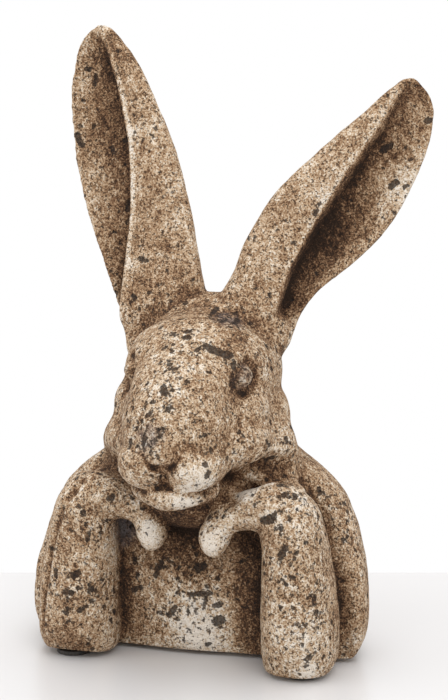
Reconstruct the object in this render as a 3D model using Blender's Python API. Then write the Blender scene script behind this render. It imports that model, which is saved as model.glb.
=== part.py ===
import bpy
import bmesh
import numpy as np

for old in list(bpy.data.objects):
    bpy.data.objects.remove(old)

# real sizes in metres
hare_height = 0.3970        # sole to the tip of the taller ear
pad_diameter = 0.0220
pad_height = 0.0030
pad_gap = 0.0003            # between a pad and the sole above it
stone_grain = 0.0024        # cell of the grid that fuses the forms
stone_faces = 9300          # most triangles on the fused stone

# The figure is laid out in shares: 397 of them from the sole to the taller ear tip.
# It faces -Y, and its own left is +X.
share = hare_height / 397
sole = 3.3
ground_clearance = pad_height + pad_gap

stone_colour = (0.50, 0.37, 0.25, 1.0)
pad_colour = (0.02, 0.02, 0.022, 1.0)

# torso as level sections: half its width, how far its front and back reach, and where it is widest
torso = dict(
    z=[-6, 3.3, 9.0, 16, 30, 43, 55, 64, 72, 80, 88, 96, 104, 110, 116, 122, 128, 134, 141, 148, 155, 161, 165],
    half=[98, 104.5, 108.5, 111, 112.6, 112, 110.4, 108.5, 106.2, 104, 101.5, 98, 94, 89, 83, 75.5, 67, 58,
          49.5, 42, 33, 20, 5],
    front=[-28, -30, -32, -33, -35, -36, -36, -35, -34, -33, -32, -31, -30, -28, -25, -21, -16, -11, -5, 0, 5,
           9, 11],
    back=[46, 49, 51, 52.5, 53.5, 53.5, 53, 52, 51, 50, 48.5, 47, 45.5, 44.5, 43.8, 43.2, 42.8,
          42.5, 42, 38, 31, 22, 15],
    widest=[-20, -20, -20, -20, -19, -17, -14, -11, -8, -5, -3, -2, -1, 0, 0, 0, 0, 2, 3, 5, 10, 12, 13],
    shift=-2.0, roundness=2.4)

# limbs as tubes along a path, with the two half widths square to it
foreleg = dict(
    at=[0, .04, .08, .15, .3, .5, .7, .85, .95, 1.0],
    path=[(74, -46, -3), (74, -46, 3.3), (74, -47, 8), (74.5, -47, 16), (74, -46, 40), (72.5, -46.5, 65),
          (70, -47.5, 88), (66, -48.5, 103), (61.5, -49.5, 112), (57, -50, 116)],
    across=[9, 20, 22.8, 24, 23.8, 21.8, 19.8, 17.8, 12, 5],
    over=[10, 18.5, 23.5, 28, 30.5, 28, 24.5, 20.5, 12, 5],
    side=(1, 0, 0), roundness=2.3)
wrist = dict(
    at=[0, .08, .25, .45, .62, .75, .86, .95, 1.0],
    path=[(75, -49, 93), (71, -49.5, 98), (60, -51, 105.5), (47, -53, 106), (36, -55, 103), (27.5, -57.5, 98),
          (22.5, -59.5, 90), (21, -60, 82.5), (20.5, -60, 78)],
    across=[4, 12, 17.5, 14.5, 11, 9.2, 9.6, 8.6, 3.5],
    over=[4, 12, 17.5, 14.5, 11.5, 10, 10, 9, 3.5],
    side=(0, 1, 0), roundness=2.0)

# rounded masses on the middle line, then those that come in pairs
masses = dict(
    cranium=dict(centre=(1, -12, 184), radii=(50.5, 52, 42)),
    bridge=dict(centre=(0, -52, 169), radii=(38, 58, 35), tilt=38),
    muzzle=dict(centre=(0, -62, 143), radii=(34, 32, 25), tilt=30),
    ruff=dict(centre=(0, -18, 128), radii=(70, 27, 30)),
    nape=dict(centre=(0, 5, 158), radii=(48, 40, 62)),
    throat=dict(centre=(0, -33, 110), radii=(38, 29, 24)),
    chin=dict(centre=(0, -66, 119.5), radii=(30, 30.5, 11.5)),
    gum=dict(centre=(0, -77, 132), radii=(13, 17.5, 10.5)),
    nose=dict(centre=(0, -90.5, 148), radii=(11.5, 9, 9.5), tilt=20),
    crown=dict(centre=(3, 8, 207), radii=(51, 26, 25)))
paired_masses = dict(
    cheek=dict(centre=(37, -19, 138), radii=(27.5, 26, 26)),
    lip=dict(centre=(14.5, -75.5, 138.5), radii=(21, 25.5, 17.5)),
    jowl=dict(centre=(29, -47, 147), radii=(24, 32, 20.5), yaw=-22),
    temple=dict(centre=(32.5, -10, 156), radii=(25, 26, 27)),
    under_eye=dict(centre=(33, -36, 166), radii=(18, 22, 19)),
    shoulder=dict(centre=(58, -28, 106), radii=(17, 27, 15)),
    paw=dict(centre=(20.8, -60, 86.5), radii=(9.2, 9.5, 12.5), roll=-12),
    eye=dict(centre=(33.5, -46, 188), radii=(8.5, 7.5, 10.5), roll=10))

# how far forms on the hare's right sit from the mirror image of those on its left, and how much wider they are
right_shift = dict(
    foreleg=(0, 8, 0), wrist=(0, 8, -1), paw=(0, 8, -1), shoulder=(0, 4, 0), flank=(0, 7, 0), cheek=(-1, 0, -3),
    eye=(2, 0, 0))
right_wider = dict(foreleg=1.1)

# each ear: offsets from its base-to-tip line to the outer edge, the inner edge and the rolled rim between
ear_at = [-.12, 0, .1, .2, .3, .4, .5, .6, .7, .8, .9, .95, .985, 1.0]
ears = dict(
    right=dict(
        base=(-38, 10, 215), tip=(-86.5, 47, 402.5), out=-1,
        outer=[22, 23.4, 28, 31.6, 35.3, 38.2, 39.6, 39.2, 37, 33.4, 24.9, 19, 10, 3],
        inner=[-39, -36.9, -36, -35.7, -35.5, -34.5, -33, -30, -26, -21.5, -14.2, -9, -3.5, 2],
        rim=[24, 21, 16.7, 11.4, 5.2, .4, -3.4, -5.4, -5.4, -4.3, -1.6, 1.2, 3, 2.6]),
    left=dict(
        base=(36, 10, 213), tip=(122.5, 47, 370.5), out=1,
        outer=[20, 19, 16.5, 19.2, 26, 32, 36, 36.9, 35.2, 32.4, 26.6, 21, 11.6, 3],
        inner=[-37, -34.6, -35, -38.5, -39.1, -38.1, -34, -28.3, -22.2, -15.8, -10.3, -6.5, -3, 1.5],
        rim=[8, 4.5, .5, -3.4, -4.7, -5.3, -5.2, -4.4, -2.8, -1.8, -2, -.8, 0, 2]))
ear_section = dict(
    ridge=[17, 17, 14, 12, 11, 10.6, 10.2, 9.6, 8.6, 7, 4.6, 3, 1.5, .5],
    hollow=[2, 2, 4, 6, 7.5, 8.2, 8.4, 8.2, 7.4, 6, 3.6, 2, .6, 0],
    behind=[22, 22, 21, 20, 19, 18.3, 17.6, 16.6, 15, 12.6, 9, 6.4, 3.4, 1.2],
    turn=8.0, bow=5.0)

# soft swellings: where, how far they fade out, how much stone they add
swellings = dict(
    lip=dict(at=(17, -97, 134), reach=20, rise=2.0),
    nose=dict(at=(0, -101, 146), reach=13, rise=1.6),
    eyeball=dict(at=(39, -49.5, 188), reach=9.5, rise=1.5),
    lower_lip=dict(at=(0, -96, 114), reach=24, rise=2.5),
    chest=dict(at=(-8, -37, 22), reach=42, rise=3.0))

# carved strokes: the line they follow, how wide they fade out, how deep they go
strokes = dict(
    mouth=dict(wide=5.0, deep=3.0, line=[
        (0, -93, 127), (5, -92.5, 123.7), (10, -92, 122), (17, -90, 121.4), (23, -86, 122.4), (29, -78, 124.6),
        (33, -68, 127.5)]),
    philtrum=dict(wide=6.0, deep=2.8, line=[(0, -101, 139), (0, -98, 134), (0, -93, 127)]),
    nostril=dict(wide=5.0, deep=2.6, line=[(10.5, -98, 145.5), (8.5, -99, 142), (4.5, -100, 139), (0, -101, 137)]),
    eye_ring=dict(wide=4.8, deep=2.2, line=[
        (37.9, -41.7, 198), (41.3, -40.1, 193.5), (43.2, -39.7, 187.2), (42.3, -45.9, 180.6), (38.2, -52.2, 178.1),
        (35.1, -57.3, 181.1), (33.4, -56.9, 185.4), (33.5, -51.4, 190.7), (35.4, -46.6, 195.6), (37.9, -41.7, 198)]),
    lid=dict(wide=9.0, deep=-1.0, line=[(31, -50, 200), (37, -41.5, 204), (44, -35.5, 200), (48, -33, 190)]),
    tear_trough=dict(wide=13, deep=1.4, line=[(36, -56, 179), (33.5, -64, 178), (33, -70, 173)]),
    muzzle_side=dict(wide=12, deep=1.8, line=[(38, -66, 156), (40, -62, 146), (38, -60, 132)]),
    forehead=dict(wide=16, deep=2.2, line=[
        (50, -4, 207), (44, -7, 211), (36, -12, 215.5), (24, -19, 220), (11, -23, 223.5), (0, -24, 224.5)]),
    under_cheek=dict(wide=13, deep=5, line=[(32, -60, 126), (40, -54, 128), (50, -42, 129), (60, -30, 128), (68, -18, 128)]),
    under_chin=dict(wide=10, deep=4.5, line=[(0, -82, 103), (13, -80, 103.5), (24, -70, 108), (32, -60, 116)]),
    flank=dict(wide=11, deep=3.5, line=[
        (66, -18, 114), (77, -21, 102.5), (84, -23, 87), (90, -26, 68.7), (94.5, -28, 50), (97, -28.4, 31),
        (97.5, -27.4, 6)]),
    shoulder=dict(wide=12, deep=4, line=[(40, -30, 119), (52, -24, 121), (66, -18, 114)]))

# rubber pads under the two front feet, and two more under the back of the torso
pads = dict(
    pad_front_right=(-78, -45),
    pad_front_left=(77, -52),
    pad_rear_right=(-62, 22),
    pad_rear_left=(62, 22))


# A smooth curve through the listed values: cubic pieces that share their slopes.
def through(at, knots, values):
    knots = np.asarray(knots, float)
    values = np.asarray(values, float)
    slope = np.gradient(values, knots, axis=0)
    i = np.clip(np.searchsorted(knots, at, side="right") - 1, 0, len(knots) - 2)
    gap = knots[i + 1] - knots[i]
    u = (at - knots[i]) / gap
    if values.ndim > 1:
        u = u[:, None]
        gap = gap[:, None]
    start = (2 * u**3 - 3 * u**2 + 1) * values[i] + (u**3 - 2 * u**2 + u) * gap * slope[i]
    end = (3 * u**2 - 2 * u**3) * values[i + 1] + (u**3 - u**2) * gap * slope[i + 1]
    return start + end


# Keeps the sign of v and raises its size to a power, which squares up a circle.
def squared(v, power):
    return np.sign(v) * np.abs(v) ** power


def torso_rings(form, rows=80, columns=120):
    z = np.linspace(form["z"][0], form["z"][-1], rows)
    half = through(z, form["z"], form["half"])[:, None]
    front = through(z, form["z"], form["front"])[:, None]
    back = through(z, form["z"], form["back"])[:, None]
    widest = through(z, form["z"], form["widest"])[:, None]
    angle = np.linspace(0, 2 * np.pi, columns, endpoint=False)[None, :]
    power = 2 / form["roundness"]
    x = form["shift"] + half * squared(np.cos(angle), power)
    reach = np.where(np.sin(angle) < 0, widest - front, back - widest)
    y = widest + reach * squared(np.sin(angle), power)
    return np.stack([x, y, z[:, None] + 0 * x], axis=-1)


def tube_rings(form, rows=60, columns=40):
    t = np.linspace(0, 1, rows)
    path = through(t, form["at"], form["path"])
    across = through(t, form["at"], form["across"])[:, None, None]
    over = through(t, form["at"], form["over"])[:, None, None]
    along = np.gradient(path, axis=0)
    along /= np.linalg.norm(along, axis=1)[:, None]
    up = np.cross(along, np.broadcast_to(np.array(form["side"], float), along.shape))
    up /= np.linalg.norm(up, axis=1)[:, None]
    sideways = np.cross(up, along)
    angle = np.linspace(0, 2 * np.pi, columns, endpoint=False)[None, :, None]
    power = 2 / form["roundness"]
    ring = across * squared(np.cos(angle), power) * sideways[:, None]
    ring = ring + over * squared(np.sin(angle), power) * up[:, None]
    return path[:, None] + ring


# An ellipsoid turned by tilt about X, roll about Y and yaw about Z, in degrees.
def mass_rings(centre, radii, tilt=0.0, roll=0.0, yaw=0.0, rows=24, columns=36):
    v = np.linspace(0.03, np.pi - 0.03, rows)[:, None]
    w = np.linspace(0, 2 * np.pi, columns, endpoint=False)[None, :]
    x = radii[0] * np.sin(v) * np.cos(w)
    y = radii[1] * np.sin(v) * np.sin(w)
    z = -radii[2] * np.cos(v) + 0 * w
    a, b, c = np.radians([tilt, roll, yaw])
    about_x = np.array([[1, 0, 0], [0, np.cos(a), -np.sin(a)], [0, np.sin(a), np.cos(a)]])
    about_y = np.array([[np.cos(b), 0, np.sin(b)], [0, 1, 0], [-np.sin(b), 0, np.cos(b)]])
    about_z = np.array([[np.cos(c), -np.sin(c), 0], [np.sin(c), np.cos(c), 0], [0, 0, 1]])
    return np.stack([x, y, z], axis=-1) @ (about_z @ about_y @ about_x).T + np.array(centre, float)


# A leaf-shaped ear: a cupped outer part, a rolled rim standing over it, a convex inner flap and a round back.
def ear_rings(ear, section, rows=90, columns=80):
    base = np.array(ear["base"], float)
    reach = np.array(ear["tip"], float) - base
    length = np.linalg.norm(reach)
    along = reach / length
    turn = np.radians(section["turn"])
    facing = np.array([ear["out"] * np.sin(turn), -np.cos(turn), 0.0])
    facing -= along * (facing @ along)
    facing /= np.linalg.norm(facing)
    outward = np.cross(facing, along)
    outward *= np.sign(outward[0] * ear["out"])
    t = np.linspace(ear_at[0], 1, rows)
    outer, inner, rim = (through(t, ear_at, ear[name])[:, None] for name in ("outer", "inner", "rim"))
    ridge, hollow, behind = (through(t, ear_at, section[name])[:, None] for name in ("ridge", "hollow", "behind"))
    p = (1 - np.cos(np.linspace(0, np.pi, columns // 2 + 1)))[None, :-1] / 2
    rim_at = np.clip((outer - rim) / (outer - inner), 0.05, 0.95)
    cup_at = np.clip(p / rim_at, 0, 1)
    cup = 2.2 - (hollow + 2.2) * np.sin(np.pi / 2 * np.clip(cup_at / 0.82, 0, 1)) ** 1.3
    wall = np.clip((cup_at - 0.86) / 0.14, 0, 1)
    cup = cup + (ridge - cup) * wall * wall * (3 - 2 * wall)
    flap_at = np.clip((p - rim_at) / (1 - rim_at), 0, 1)
    flap = ridge * np.sqrt(1 - flap_at**2.4)
    front = np.where(p < rim_at, cup, flap)
    back = -behind * np.abs(np.sin(np.pi * p)) ** 0.5 * (1 - 0.3 * p) - 1.5
    sideways = np.hstack([outer + (inner - outer) * p, inner + (outer - inner) * p])
    forward = np.hstack([front, back + 0 * behind])
    forward = forward - section["bow"] * np.sin(np.pi * np.clip(t, 0, 1))[:, None]
    rings = base + (t[:, None] * length)[..., None] * along
    rings = rings + sideways[..., None] * outward + forward[..., None] * facing
    return rings if ear["out"] > 0 else rings[:, ::-1]


# A form and its mirror image, which may be a little wider and sit a little off.
def pair(name, rings):
    other = (rings * np.array([-1.0, 1, 1]))[:, ::-1]
    core = other.mean(axis=1, keepdims=True)
    other = core + (other - core) * np.array([right_wider.get(name, 1.0), 1, 1])
    return [rings, other + np.array(right_shift.get(name, (0, 0, 0)), float)]


# Rings become a closed body: quads from ring to ring and a fan over each end.
def add_body(mesh, rings):
    rows, columns = rings.shape[:2]
    grid = [[mesh.verts.new(point) for point in ring] for ring in rings.tolist()]
    for low, high in zip(grid[:-1], grid[1:]):
        for k in range(columns):
            mesh.faces.new((low[k], low[(k + 1) % columns], high[(k + 1) % columns], high[k]))
    first = mesh.verts.new(rings[0].mean(axis=0))
    last = mesh.verts.new(rings[-1].mean(axis=0))
    for k in range(columns):
        mesh.faces.new((first, grid[0][(k + 1) % columns], grid[0][k]))
        mesh.faces.new((last, grid[-1][k], grid[-1][(k + 1) % columns]))


# The object's mesh as its modifiers leave it.
def evaluated(thing):
    graph = bpy.context.evaluated_depsgraph_get()
    return bpy.data.meshes.new_from_object(thing.evaluated_get(graph))


# Each point goes part of the way to the mean of its neighbours, further where the weight is high.
def relaxed(points, edges, weight, rounds):
    a = np.concatenate([edges[:, 0], edges[:, 1]])
    b = np.concatenate([edges[:, 1], edges[:, 0]])
    count = np.bincount(a, minlength=len(points))[:, None]
    for _ in range(rounds):
        total = [np.bincount(a, weights=points[b, axis], minlength=len(points)) for axis in range(3)]
        points = points + weight[:, None] * (np.stack(total, axis=1) / count - points)
    return points


def normals(points, triangles):
    corner = [points[triangles[:, k]] for k in range(3)]
    area = np.cross(corner[1] - corner[0], corner[2] - corner[0])
    total = np.zeros_like(points)
    for axis in range(3):
        for k in range(3):
            total[:, axis] += np.bincount(triangles[:, k], weights=area[:, axis], minlength=len(points))
    return total / np.linalg.norm(total, axis=1)[:, None]


# One inside the band from low to high, falling smoothly to nothing over the soft distance.
def band(value, low, high, soft):
    up = np.clip((value - low) / soft + 0.5, 0, 1)
    down = np.clip((high - value) / soft + 0.5, 0, 1)
    return up * up * (3 - 2 * up) * down * down * (3 - 2 * down)


# How deep a stroke cuts at each point: most on its line, nothing beyond its width.
def cut_depth(points, stroke):
    line = np.array(stroke["line"], float)
    nearest = np.full(len(points), 1e6)
    for start, end in zip(line[:-1], line[1:]):
        along = np.clip((points - start) @ (end - start) / ((end - start) @ (end - start)), 0, 1)
        nearest = np.minimum(nearest, np.linalg.norm(points - start - along[:, None] * (end - start), axis=1))
    return stroke["deep"] * np.clip(1 - (nearest / stroke["wide"]) ** 2, 0, 1) ** 2


def carved(points, triangles):
    flip = np.array([-1.0, 1, 1])
    rise = np.zeros(len(points))
    for swelling in swellings.values():
        at = np.array(swelling["at"], float)
        for centre in ([at] if at[0] <= 0 else [at, at * flip]):
            far = np.linalg.norm(points - centre, axis=1) / swelling["reach"]
            rise += swelling["rise"] * np.clip(1 - far * far, 0, 1) ** 2
    points = points + rise[:, None] * normals(points, triangles)
    cut = np.zeros(len(points))
    raised = np.zeros(len(points))
    for name, stroke in strokes.items():
        one = cut_depth(points, stroke)
        other = cut_depth((points - np.array(right_shift.get(name, (0, 0, 0)), float)) * flip, stroke)
        cut = np.maximum(cut, np.maximum(one, other))
        raised = np.minimum(raised, np.minimum(one, other))
    return points - (cut + raised)[:, None] * normals(points, triangles)


def make_material(name, colour, roughness):
    material = bpy.data.materials.new(name)
    material.use_nodes = True
    shader = material.node_tree.nodes["Principled BSDF"]
    shader.inputs["Base Color"].default_value = colour
    shader.inputs["Roughness"].default_value = roughness
    shader.inputs["Metallic"].default_value = 0.0
    return material


def add_object(name, mesh, material):
    thing = bpy.data.objects.new(name, mesh)
    mesh.materials.append(material)
    bpy.context.scene.collection.objects.link(thing)
    return thing


# the rough figure: every form as a closed body, all in one mesh, in shares
rough = bmesh.new()
bodies = [torso_rings(torso)]
bodies += pair("foreleg", tube_rings(foreleg)) + pair("wrist", tube_rings(wrist))
bodies += [ear_rings(ear, ear_section) for ear in ears.values()]
bodies += [mass_rings(**mass) for mass in masses.values()]
for name, mass in paired_masses.items():
    bodies += pair(name, mass_rings(**mass))
for body in bodies:
    add_body(rough, body)
rough_mesh = bpy.data.meshes.new("rough")
rough.to_mesh(rough_mesh)
rough.free()
rough_figure = bpy.data.objects.new("rough", rough_mesh)
bpy.context.scene.collection.objects.link(rough_figure)

# fused into one skin
fuse = rough_figure.modifiers.new("fuse", "REMESH")
fuse.mode = "VOXEL"
fuse.voxel_size = stone_grain / share
skin = evaluated(rough_figure)
bpy.data.objects.remove(rough_figure)

points = np.empty(len(skin.vertices) * 3)
skin.vertices.foreach_get("co", points)
points = points.reshape(-1, 3)
edges = np.empty(len(skin.edges) * 2, int)
skin.edges.foreach_get("vertices", edges)
edges = edges.reshape(-1, 2)
skin.calc_loop_triangles()
triangles = np.empty(len(skin.loop_triangles) * 3, int)
skin.loop_triangles.foreach_get("vertices", triangles)
triangles = triangles.reshape(-1, 3)

# rubbed down all over, more on the face, less round the eyes
cell = np.linalg.norm(points[edges[:, 0]] - points[edges[:, 1]], axis=1).mean()
points = relaxed(points, edges, np.full(len(points), 0.5), int(np.ceil(2 * (2.2 / cell) ** 2)))
face = band(points[:, 1], -200, -3, 25) * band(points[:, 2], 108, 222, 16) * band(np.abs(points[:, 0]), -1, 70, 10)
eye_distance = np.linalg.norm(np.abs(points) - np.array([36.6, 46, 183]), axis=1)
face *= 1 - band(eye_distance, -1, 12, 6)
points = relaxed(points, edges, 0.5 * face, int(np.ceil(2 * (6.0 / cell) ** 2)))
points = carved(points, triangles)
skin.vertices.foreach_set("co", points.ravel())
skin.update()

# fewer faces where the stone is plain
skin_figure = bpy.data.objects.new("skin", skin)
bpy.context.scene.collection.objects.link(skin_figure)
thin = skin_figure.modifiers.new("thin", "DECIMATE")
thin.ratio = min(1.0, stone_faces / len(triangles))
thin.use_collapse_triangulate = True
faceted = evaluated(skin_figure)
bpy.data.objects.remove(skin_figure)

# sawn flat at the sole, then set on its pads with the middle of its outline over the origin
figure = bmesh.new()
figure.from_mesh(faceted)
everything = figure.verts[:] + figure.edges[:] + figure.faces[:]
bmesh.ops.bisect_plane(
    figure, geom=everything, dist=1e-5, plane_co=(0, 0, sole), plane_no=(0, 0, -1), clear_outer=True)
rim_edges = [edge for edge in figure.edges if edge.is_boundary]
bmesh.ops.triangle_fill(figure, edges=rim_edges, use_beauty=True, use_dissolve=False)
bmesh.ops.recalc_face_normals(figure, faces=figure.faces[:])
corners = np.array([vertex.co for vertex in figure.verts])
middle = (corners.min(axis=0) + corners.max(axis=0)) / 2
for vertex in figure.verts:
    vertex.co.x = (vertex.co.x - middle[0]) * share
    vertex.co.y = (vertex.co.y - middle[1]) * share
    vertex.co.z = (vertex.co.z - sole) * share + ground_clearance
hare_mesh = bpy.data.meshes.new("hare")
figure.to_mesh(hare_mesh)
figure.free()
hare_mesh.shade_smooth()
add_object("hare", hare_mesh, make_material("cast_stone", stone_colour, 0.9))

# the pads
rubber = make_material("rubber", pad_colour, 0.7)
for name, (across, along) in pads.items():
    pad = bmesh.new()
    bmesh.ops.create_cone(
        pad, cap_ends=True, segments=32, radius1=pad_diameter / 2, radius2=pad_diameter / 2, depth=pad_height)
    pad_mesh = bpy.data.meshes.new(name)
    pad.to_mesh(pad_mesh)
    pad.free()
    pad_mesh.shade_smooth()
    pad_mesh.set_sharp_from_angle(angle=0.6)
    disc = add_object(name, pad_mesh, rubber)
    disc.location = ((across - middle[0]) * share, (along - middle[1]) * share, pad_height / 2)
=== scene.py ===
import bpy
import numpy as np
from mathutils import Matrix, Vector


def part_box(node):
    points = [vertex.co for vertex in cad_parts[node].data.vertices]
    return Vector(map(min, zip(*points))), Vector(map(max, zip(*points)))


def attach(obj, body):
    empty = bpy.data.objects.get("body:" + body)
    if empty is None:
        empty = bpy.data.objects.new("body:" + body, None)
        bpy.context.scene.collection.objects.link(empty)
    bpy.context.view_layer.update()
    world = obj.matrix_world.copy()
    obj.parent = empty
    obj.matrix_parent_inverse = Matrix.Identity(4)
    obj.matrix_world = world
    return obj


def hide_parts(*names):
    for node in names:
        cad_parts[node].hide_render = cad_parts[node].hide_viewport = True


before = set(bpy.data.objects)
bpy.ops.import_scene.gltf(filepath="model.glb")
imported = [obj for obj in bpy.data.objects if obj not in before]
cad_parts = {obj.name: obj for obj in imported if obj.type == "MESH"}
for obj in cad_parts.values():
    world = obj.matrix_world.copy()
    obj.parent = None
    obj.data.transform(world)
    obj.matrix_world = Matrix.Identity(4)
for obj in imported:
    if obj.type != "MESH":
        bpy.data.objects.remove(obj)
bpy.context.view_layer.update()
scene = bpy.context.scene
print("frame loaded:", sorted(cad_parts))

# The stone is laid out in shares of the hare's height, 397 from its sole to the taller ear tip. It faces -Y.
# The CAD pads tell how long a share is, and where the stone's own middle line lies.
padPlaces = dict(
    pad_front_right=(-78, -45), pad_front_left=(77, -52), pad_rear_right=(-62, 22), pad_rear_left=(62, 22))
sole = 3.3


# the middle of a CAD node's box
def middleOf(node):
    low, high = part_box(node)
    return (np.array(low) + np.array(high)) / 2


leftPad, rightPad = middleOf("pad_front_left"), middleOf("pad_front_right")
share = (leftPad[0] - rightPad[0]) / (padPlaces["pad_front_left"][0] - padPlaces["pad_front_right"][0])
middle = np.array([padPlaces["pad_front_left"][0] - leftPad[0] / share,
                   padPlaces["pad_front_left"][1] - leftPad[1] / share, 0])
soleHeight = np.array(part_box("hare")[0])[2]


# Shares become metres in the frame: (point - middle) * share, with the sole at its CAD height.
def inFrame(points):
    placed = (points - middle) * share
    placed[:, 2] = (points[:, 2] - sole) * share + soleHeight
    return placed


# A smooth curve through the listed values: on each stretch a cubic whose end slopes are the mean slopes there.
def through(at, knots, values):
    knots, values = np.asarray(knots, float), np.asarray(values, float)
    slope = np.gradient(values, knots, axis=0)
    i = np.clip(np.searchsorted(knots, at, side="right") - 1, 0, len(knots) - 2)
    gap = knots[i + 1] - knots[i]
    u = (at - knots[i]) / gap
    if values.ndim > 1:
        u, gap = u[:, None], gap[:, None]
    start = (2 * u**3 - 3 * u**2 + 1) * values[i] + (u**3 - 2 * u**2 + u) * gap * slope[i]
    end = (3 * u**2 - 2 * u**3) * values[i + 1] + (u**3 - u**2) * gap * slope[i + 1]
    return start + end


# sign(v) |v|^power, which squares up a circle
def squared(v, power):
    return np.sign(v) * np.abs(v) ** power


# 3 t^2 - 2 t^3 with t running from 0 at low to 1 at high
def eased(value, low, high):
    t = np.clip((value - low) / (high - low), 0, 1)
    return t * t * (3 - 2 * t)


torso = dict(
    z=[-6, 3.3, 9.0, 16, 30, 43, 55, 64, 72, 80, 88, 96, 104, 110, 116, 122, 128, 134, 141, 148, 155, 161, 165],
    half=[98, 104.5, 108.5, 111, 112.6, 112, 110.4, 108.5, 106.2, 104, 101.5, 98, 94, 89, 83, 75.5, 67, 58,
          49.5, 42, 33, 20, 5],
    front=[-28, -30, -32, -33, -35, -36, -36, -35, -34, -33, -32, -31, -30, -28, -25, -21, -16, -11, -5, 0, 5,
           9, 11],
    back=[46, 49, 51, 52.5, 53.5, 53.5, 53, 52, 51, 50, 48.5, 47, 45.5, 44.5, 43.8, 43.2, 42.8, 42.5, 42, 38,
          31, 22, 15],
    widest=[-20, -20, -20, -20, -19, -17, -14, -11, -8, -5, -3, -2, -1, 0, 0, 0, 0, 2, 3, 5, 10, 12, 13],
    shift=-2.0, roundness=2.4)


# A squared ellipse at each height: x = shift + half cos^p, y = widest + reach sin^p, with p = 2 / roundness.
def torsoSurface(form, rows=90, columns=140):
    z = np.linspace(form["z"][0], form["z"][-1], rows)
    half, front, back, widest = (
        through(z, form["z"], form[name])[:, None] for name in ("half", "front", "back", "widest"))
    angle = np.linspace(0, 2 * np.pi, columns, endpoint=False)[None, :]
    power = 2 / form["roundness"]
    x = form["shift"] + half * squared(np.cos(angle), power)
    reach = np.where(np.sin(angle) < 0, widest - front, back - widest)
    y = widest + reach * squared(np.sin(angle), power)
    return np.stack([x, y, z[:, None] + 0 * x], axis=-1)


foreleg = dict(
    at=[0, .04, .08, .15, .3, .5, .7, .85, .95, 1.0],
    path=[(74, -46, -3), (74, -46, 3.3), (74, -47, 8), (74.5, -47, 16), (74, -46, 40), (72.5, -46.5, 65),
          (70, -47.5, 88), (66, -48.5, 103), (61.5, -49.5, 112), (57, -50, 116)],
    across=[9, 20, 22.8, 24, 23.8, 21.8, 19.8, 17.8, 12, 5],
    over=[10, 18.5, 23.5, 28, 30.5, 28, 24.5, 20.5, 12, 5],
    side=(1, 0, 0), roundness=2.3)
wrist = dict(
    at=[0, .08, .25, .45, .62, .75, .86, .95, 1.0],
    path=[(75, -49, 93), (71, -49.5, 98), (60, -51, 105.5), (47, -53, 106), (36, -55, 103), (27.5, -57.5, 98),
          (22.5, -59.5, 90), (21, -60, 82.5), (20.5, -60, 78)],
    across=[4, 12, 17.5, 14.5, 11, 9.2, 9.6, 8.6, 3.5],
    over=[4, 12, 17.5, 14.5, 11.5, 10, 10, 9, 3.5],
    side=(0, 1, 0), roundness=2.0)


# A ring carried along a path: centre + across cos^p sideways + over sin^p up, both square to the path.
def limbSurface(form, rows=80, columns=48):
    t = np.linspace(0, 1, rows)
    path = through(t, form["at"], form["path"])
    across = through(t, form["at"], form["across"])[:, None, None]
    over = through(t, form["at"], form["over"])[:, None, None]
    along = np.gradient(path, axis=0)
    along /= np.linalg.norm(along, axis=1)[:, None]
    up = np.cross(along, np.broadcast_to(np.array(form["side"], float), along.shape))
    up /= np.linalg.norm(up, axis=1)[:, None]
    sideways = np.cross(up, along)
    angle = np.linspace(0, 2 * np.pi, columns, endpoint=False)[None, :, None]
    power = 2 / form["roundness"]
    ring = across * squared(np.cos(angle), power) * sideways[:, None]
    return path[:, None] + ring + over * squared(np.sin(angle), power) * up[:, None]


masses = dict(
    cranium=dict(centre=(1, -12, 184), radii=(50.5, 52, 42)),
    bridge=dict(centre=(0, -52, 169), radii=(38, 58, 35), tilt=38),
    muzzle=dict(centre=(0, -62, 143), radii=(34, 32, 25), tilt=30),
    ruff=dict(centre=(0, -18, 128), radii=(70, 27, 30)),
    nape=dict(centre=(0, 5, 158), radii=(48, 40, 62)),
    throat=dict(centre=(0, -33, 110), radii=(38, 29, 24)),
    chin=dict(centre=(0, -66, 119.5), radii=(30, 30.5, 11.5)),
    gum=dict(centre=(0, -77, 132), radii=(13, 17.5, 10.5)),
    nose=dict(centre=(0, -90.5, 148), radii=(11.5, 9, 9.5), tilt=20),
    crown=dict(centre=(3, 8, 207), radii=(51, 26, 25)))
pairedMasses = dict(
    cheek=dict(centre=(37, -19, 138), radii=(27.5, 26, 26)),
    lip=dict(centre=(14.5, -75.5, 138.5), radii=(21, 25.5, 17.5)),
    jowl=dict(centre=(29, -47, 147), radii=(24, 32, 20.5), yaw=-22),
    temple=dict(centre=(32.5, -10, 156), radii=(25, 26, 27)),
    underEye=dict(centre=(33, -36, 166), radii=(18, 22, 19)),
    shoulder=dict(centre=(58, -28, 106), radii=(17, 27, 15)),
    paw=dict(centre=(20.8, -60, 86.5), radii=(9.2, 9.5, 12.5), roll=-12),
    eye=dict(centre=(33.5, -46, 188), radii=(8.5, 7.5, 10.5), roll=10))
# how far forms on the hare's right sit from the mirror image of those on its left, and how much wider they are
rightShift = dict(
    foreleg=(0, 8, 0), wrist=(0, 8, -1), paw=(0, 8, -1), shoulder=(0, 4, 0), flank=(0, 7, 0), cheek=(-1, 0, -3),
    eye=(2, 0, 0))
rightWider = dict(foreleg=1.1)


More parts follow.
